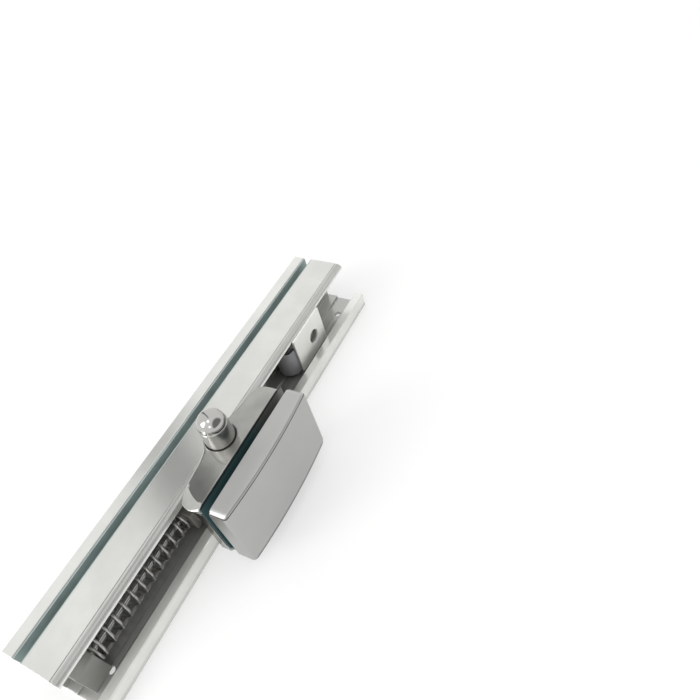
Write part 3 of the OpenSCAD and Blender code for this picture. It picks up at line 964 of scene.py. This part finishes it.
@dataclass
class CoverFace(RolledFace):
    """The cover's bowed face, with the fine groove along its upper and lower edge."""

    depth: float = 6.0 * MM
    edge: float = 1.6 * MM
    turn: Matrix = field(default_factory=lambda: Matrix.Rotation(math.radians(-90), 4, "X"))
    apart: float = 0.03 * MM
    groove_inset: float = 2.0 * MM
    groove_wide: float = 0.7 * MM
    groove_deep: float = 1.0 * MM
    groove_wall: float = 0.04 * MM

    def seams(self, work: bmesh.types.BMesh) -> list[list[Vector]]:
        """The edges of the grooves.

        Args:
            work: The CAD node's mesh.

        Returns:
            Four lines for each groove.
        """
        xs = [vert.co.x for vert in work.verts]
        ys = [vert.co.y for vert in work.verts]
        left, wide = min(xs), max(xs) - min(xs)
        count = round(wide / self.step)
        self.middle = (min(ys) + max(ys)) / 2
        self.reach = (max(ys) - min(ys)) / 2
        start, stop = self.groove_inset, self.groove_inset + self.groove_wide
        lines = []
        for side in (-1, 1):
            for inset in (start - self.groove_wall, start, stop, stop + self.groove_wall):
                y = self.middle + side * (self.reach - inset)
                lines.append([Vector((left + wide * i / count, y, 0)) for i in range(count + 1)])
        return lines

    def height(self, x: float, y: float) -> float:
        """Height of the bowed face, with its grooves.

        Args:
            x: The point's X.
            y: The point's Y.

        Returns:
            The height.
        """
        hit = self.skin.ray_cast(Vector((x, self.middle, self.top + MM)), Vector((0, 0, -1)))[0]
        bowed = self.top - self.depth / 2 if hit is None else hit.z
        inset = self.reach - abs(y - self.middle)
        start, stop = self.groove_inset - SAME, self.groove_inset + self.groove_wide + SAME
        return bowed - (self.groove_deep if start <= inset <= stop else 0.0)

    def close(self, work: bmesh.types.BMesh, outer: Verts, hole: Verts,
              seams: list[list[Vector]]) -> None:
        """Closes the cut cover, and its hollow below the new face.

        Args:
            work: The opened mesh, changed in place.
            outer: The outer ring at the cut.
            hole: The ring of the hollow at the cut.
            seams: Lines that stay edges.
        """
        inner = self._roll(work, outer, [self.edge] * len(outer), True)
        self._fill(work, inner, [], seams)
        work.faces.new(hole)


# ---- coil springs


class CoilTree:
    """Geometry Nodes tree that winds a round-wire coil with closed ends along +Z."""

    INPUTS = (("Length", 0.05), ("Mean radius", 0.008), ("Wire", 0.002), ("Turns", 10.0))
    ROUND_STEPS = 36        # of one turn
    WIRE_SIDES = 14
    DEAD_RISE = 1.02        # of one closed turn, in wires

    def __init__(self) -> None:
        """Builds the tree."""
        self.group = bpy.data.node_groups.new("coil spring", "GeometryNodeTree")
        face = self.group.interface
        self.ids: dict[str, str] = {}
        for name, value in self.INPUTS:
            socket = face.new_socket(name, in_out="INPUT", socket_type="NodeSocketFloat")
            socket.default_value = value
            self.ids[name] = socket.identifier
        finish = face.new_socket("Finish", in_out="INPUT", socket_type="NodeSocketMaterial")
        self.ids["Finish"] = finish.identifier
        face.new_socket("Geometry", in_out="OUTPUT", socket_type="NodeSocketGeometry")
        self._wind(Nodes(self.group))

    def _wind(self, n: Nodes) -> None:
        """Adds the nodes.

        Args:
            n: The tree's nodes.
        """
        length, radius, wire, turns, finish = n.add("NodeGroupInput").outputs[:5]
        spiral = n.add("GeometryNodeCurveSpiral", {
            "Resolution": self.ROUND_STEPS, "Rotations": turns, "Start Radius": radius,
            "End Radius": radius, "Height": 0.0})
        lift = n.add("ShaderNodeCombineXYZ", {"Z": self._height(n, length, wire, turns)})
        move = n.add("GeometryNodeSetPosition", {"Geometry": spiral.outputs[0],
                                                 "Offset": lift.outputs[0]})
        circle = n.add("GeometryNodeCurvePrimitiveCircle", {
            "Resolution": self.WIRE_SIDES, "Radius": n.math("MULTIPLY", wire, 0.5)})
        tube = n.add("GeometryNodeCurveToMesh", {
            "Curve": move.outputs[0], "Profile Curve": circle.outputs[0], "Fill Caps": True})
        smooth = n.add("GeometryNodeSetShadeSmooth", {0: tube.outputs[0]})
        real = n.add("GeometryNodeRealizeInstances", {0: smooth.outputs[0]})
        paint = n.add("GeometryNodeSetMaterial", {"Geometry": real.outputs[0],
                                                  "Material": finish})
        n.add("NodeGroupOutput", {0: paint.outputs[0]})

    def _height(self, n: Nodes, length: Socket, wire: Socket, turns: Socket) -> Socket:
        """Height of the wire's middle, with one closed turn at each end.

        Args:
            n: The tree's nodes.
            length: Length of the spring.
            wire: Diameter of the wire.
            turns: Number of turns.

        Returns:
            The height.
        """
        along = n.add("GeometryNodeSplineParameter").outputs["Factor"]
        turn = n.math("MULTIPLY", along, turns)
        dead = n.math("MULTIPLY", wire, self.DEAD_RISE)
        low = n.math("MULTIPLY", n.math("MINIMUM", turn, 1.0), dead)
        past = n.math("SUBTRACT", turn, n.math("SUBTRACT", turns, 1.0))
        high = n.math("MULTIPLY", n.math("MAXIMUM", past, 0.0), dead)
        live = n.math("DIVIDE", n.math("SUBTRACT", turn, 1.0), n.math("SUBTRACT", turns, 2.0))
        live = n.math("MINIMUM", n.math("MAXIMUM", live, 0.0), 1.0)
        used = n.math("ADD", wire, n.math("MULTIPLY", dead, 2.0))
        rise = n.math("MULTIPLY", live, n.math("SUBTRACT", length, used))
        half = n.math("MULTIPLY", wire, 0.5)
        return n.math("ADD", n.math("ADD", low, high), n.math("ADD", rise, half))


class Lie(Enum):
    """Which way a coil lies, as the index of its axis."""

    ALONG_RAIL = 0
    UPRIGHT = 2


@dataclass
class Coil:
    """One coil spring between two seats."""

    node: str
    wire: float
    turns: float
    lie: Lie
    far_body: str

    def build(self, tree: CoilTree) -> None:
        """Winds the spring in the box of its CAD node.

        Args:
            tree: The shared coil tree.
        """
        low, high = (Vector(corner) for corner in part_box(self.node))
        lengthwise = self.lie.value
        size = high - low
        radius = max(size[1], size[2 - lengthwise]) / 2
        piece = put(self.node + "_wire", bpy.data.meshes.new(self.node))
        modifier = piece.modifiers.new("coil", "NODES")
        modifier.node_group = tree.group
        values = {"Length": size[lengthwise], "Mean radius": radius - self.wire / 2,
                  "Wire": self.wire, "Turns": self.turns,
                  "Finish": PAINT.get(slot_of(self.node))}
        for name, value in values.items():
            modifier[tree.ids[name]] = value
        bake(piece)
        seat = (low + high) / 2
        seat[lengthwise] = low[lengthwise]
        end = seat.copy()
        end[lengthwise] = high[lengthwise]
        angle = math.radians(90) if self.lie is Lie.ALONG_RAIL else 0.0
        piece.data.transform(Matrix.Translation(seat) @ Matrix.Rotation(angle, 4, "Y"))
        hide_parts(self.node)
        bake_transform(piece)


# ---- the studio


@dataclass(frozen=True)
class Lamp:
    """One round soft lamp."""

    name: str
    place: Triple
    target: Triple
    size: float
    watts: float

    def hang(self) -> None:
        """Hangs the lamp."""
        data = bpy.data.lights.new(self.name, "AREA")
        data.shape = "DISK"
        data.size = self.size
        data.energy = self.watts
        lamp = put(self.name, data)
        lamp.location = self.place
        aim = Vector(self.target) - Vector(self.place)
        lamp.rotation_euler = aim.to_track_quat("-Z", "Y").to_euler()


@dataclass(frozen=True)
class Patch:
    """A round dark or bright patch of the room that only reflections show."""

    toward: Triple
    inner: float
    outer: float
    level: float

    def gap(self, n: Nodes, toward: Socket) -> Socket:
        """Distance of a direction from the patch's centre.

        Args:
            n: The world's nodes.
            toward: The direction.

        Returns:
            The distance.
        """
        return n.measure("DISTANCE", toward, Vector(self.toward).normalized())


@dataclass(frozen=True)
class Stripe:
    """An upright dark stripe of the room that only reflections show."""

    azimuth: float
    inner: float
    outer: float
    level: float

    def gap(self, n: Nodes, toward: Socket) -> Socket:
        """Distance of a direction from the stripe's upright plane.

        Args:
            n: The world's nodes.
            toward: The direction.

        Returns:
            The distance, at least 1 on the room's other side.
        """
        turn = math.radians(self.azimuth)
        across = n.measure("DOT_PRODUCT", toward, (-math.sin(turn), math.cos(turn), 0))
        along = n.measure("DOT_PRODUCT", toward, (math.cos(turn), math.sin(turn), 0))
        return n.math("ADD", n.math("ABSOLUTE", across), n.math("LESS_THAN", along, 0.0))


@dataclass
class Studio:
    """Floor, soft light, surroundings and camera."""

    eye: Triple = (-0.1597, -0.2704, 0.3840)
    right: Triple = (0.4304, -0.8793, -0.2042)
    up: Triple = (0.7245, 0.2016, 0.6591)
    lens: float = 31.91
    sensor: float = 36.0
    near: float = 0.005
    floor_size: float = 6.0
    floor_color: Triple = (0.9, 0.9, 0.89)
    floor_glow: float = 0.5
    floor_roughness: float = 0.9
    floor_shine: float = 0.1
    sky: float = 1.12
    lamps: tuple[Lamp, ...] = (
        Lamp("window", (-1.35, 0.78, 0.80), (0, 0, 0.03), 0.8, 9.0),
    )
    marks: tuple[Patch | Stripe, ...] = (
        Patch((0.05, -0.98, 0.16), 0.60, 0.82, 0.25),
        Patch((-0.40, -0.13, 0.91), 0.08, 0.20, 3.5),
        Patch((-0.66, 0.30, 0.60), 0.10, 0.26, 3.5),
        Patch((-0.80, -0.45, 0.38), 0.06, 0.18, 3.0),
        Stripe(66.3, 0.02, 0.08, 0.06),
    )

    def camera(self) -> None:
        """Places the camera."""
        right, up = Vector(self.right).normalized(), Vector(self.up).normalized()
        back = right.cross(up).normalized()
        up = back.cross(right).normalized()
        data = bpy.data.cameras.new("camera")
        data.lens = self.lens
        data.sensor_width = self.sensor
        data.clip_start = self.near
        camera = put("camera", data)
        turn = Matrix((right, up, back)).transposed().to_4x4()
        camera.matrix_world = Matrix.Translation(Vector(self.eye)) @ turn
        bpy.context.scene.camera = camera

    def floor(self) -> None:
        """Lays the pale floor, which glows a little to the camera and in reflections."""
        half = self.floor_size / 2
        mesh = bpy.data.meshes.new("floor")
        mesh.from_pydata([(-half, -half, 0), (half, -half, 0), (half, half, 0), (-half, half, 0)],
                         [], [(0, 1, 2, 3)])
        floor = put("floor", mesh)
        n = Surface("floor white")
        n.set("Base Color", tint(self.floor_color))
        n.set("Roughness", self.floor_roughness)
        n.set("Specular IOR Level", self.floor_shine)
        rays = n.add("ShaderNodeLightPath").outputs
        direct = n.math("MAXIMUM", rays["Is Camera Ray"], rays["Is Glossy Ray"])
        share = n.math("MULTIPLY", direct, self.floor_glow)
        glow = n.add("ShaderNodeEmission").outputs[0]
        mix = n.add("ShaderNodeMixShader", {0: share, 1: n.shader.outputs[0], 2: glow})
        n.give(n.out.inputs["Surface"], mix.outputs[0])
        mesh.materials.append(n.material)

    def surroundings(self) -> None:
        """Sets the pale room, white to the camera and with its marks in reflections."""
        world = bpy.data.worlds.new("studio")
        bpy.context.scene.world = world
        world.use_nodes = True
        n = Nodes(world.node_tree)
        toward = n.add("ShaderNodeTexCoord").outputs["Generated"]
        level = self.sky
        for mark in self.marks:
            fade = n.spread(mark.gap(n, toward), mark.level, 1.0, mark.inner, mark.outer,
                            "SMOOTHSTEP")
            level = n.math("MULTIPLY", fade, level)
        seen = n.add("ShaderNodeBackground", {"Color": WHITE})
        around = n.add("ShaderNodeBackground", {"Color": WHITE, "Strength": level})
        direct = n.add("ShaderNodeLightPath").outputs["Is Camera Ray"]
        mix = n.add("ShaderNodeMixShader", {0: direct, 1: around.outputs[0], 2: seen.outputs[0]})
        n.add("ShaderNodeOutputWorld", {"Surface": mix.outputs[0]})

    def build(self) -> None:
        """Sets up everything that isn't the object."""
        bpy.context.scene.view_settings.view_transform = "Standard"
        self.camera()
        self.floor()
        for lamp in self.lamps:
            lamp.hang()
        self.surroundings()


# ---- sub-assemblies


@dataclass
class Rail:
    """The extruded rail with its strip, seal, rod and spring."""

    edge: float = 0.35 * MM
    trim_edge: float = 0.3 * MM
    anchor_edge: float = 0.8 * MM
    spring_wire: float = 2.0 * MM
    spring_turns: float = 13.0

    def build(self, coils: CoilTree) -> None:
        """Dresses the rail.

        Args:
            coils: The shared coil tree.
        """
        SoftEdges(self.edge, segments=2, boxed=True).apply("guide_rail")
        for trim in ("cover_strip", "glazing_seal"):
            SoftEdges(self.trim_edge, segments=2, whole_flats=True).apply(trim)
        SoftEdges(self.anchor_edge).apply("rod_anchor")
        Coil("closing_spring", self.spring_wire, self.spring_turns, Lie.ALONG_RAIL,
             "carriage").build(coils)


@dataclass
class Catch:
    """The screwed catch block and its buffer."""

    plate_edge: float = 0.4 * MM
    housing_edge: float = 0.2 * MM
    nose_edge: float = 1.6 * MM
    spring_wire: float = 1.3 * MM
    spring_turns: float = 6.0

    def build(self, coils: CoilTree) -> None:
        """Dresses the catch.

        Args:
            coils: The shared coil tree.
        """
        SoftEdges(self.plate_edge).apply("catch_plate")
        SoftEdges(self.housing_edge, segments=2).apply("catch_housing")
        SoftEdges(self.nose_edge, segments=4, boxed=True).apply("buffer_nose")
        Coil("buffer_spring", self.spring_wire, self.spring_turns, Lie.ALONG_RAIL,
             "buffer").build(coils)


@dataclass
class Carriage:
    """The casting, the cover and what is between them."""

    gasket_edge: float = 0.15 * MM
    clamp_edge: float = 0.5 * MM
    shoe_edge: float = 0.8 * MM
    spring_wire: float = 1.3 * MM
    spring_turns: float = 5.0

    def build(self, coils: CoilTree) -> None:
        """Dresses the carriage.

        Args:
            coils: The shared coil tree.
        """
        CastTop().apply("carriage_body")
        CoverFace().apply("cover_cap")
        SoftEdges(self.gasket_edge, segments=2).apply("glass_gasket")
        SoftEdges(self.clamp_edge).apply("clamp_plate")
        SoftEdges(self.shoe_edge).apply("guide_shoe")
        Coil("plunger_spring", self.spring_wire, self.spring_turns, Lie.UPRIGHT,
             "release").build(coils)


@dataclass
class Release:
    """The domed knob and the roller arm below it."""

    knob_edge: float = 0.35 * MM
    knob_angle: float = math.radians(50)
    arm_edge: float = 0.4 * MM

    def build(self) -> None:
        """Dresses the knob and the arm."""
        SoftEdges(self.knob_edge, angle=self.knob_angle).apply("release_knob")
        SoftEdges(self.arm_edge).apply("roller_arm")


def dress_bare_nodes() -> None:
    """Gives every CAD node its own finish, for those that no piece replaces."""
    for name, node in frame["nodes"].items():
        node.data.materials.clear()
        node.data.materials.append(PAINT.get(slot_of(name)))
        log.info("%s has finish %s", name, slot_of(name))


def main() -> None:
    """Builds the studio and dresses every sub-assembly."""
    logging.basicConfig(level=logging.INFO, format="%(name)s %(message)s")
    Studio().build()
    dress_bare_nodes()
    coils = CoilTree()
    for part in (Rail(), Catch(), Carriage()):
        part.build(coils)
    Release().build()


if __name__ == "__main__":
    main()
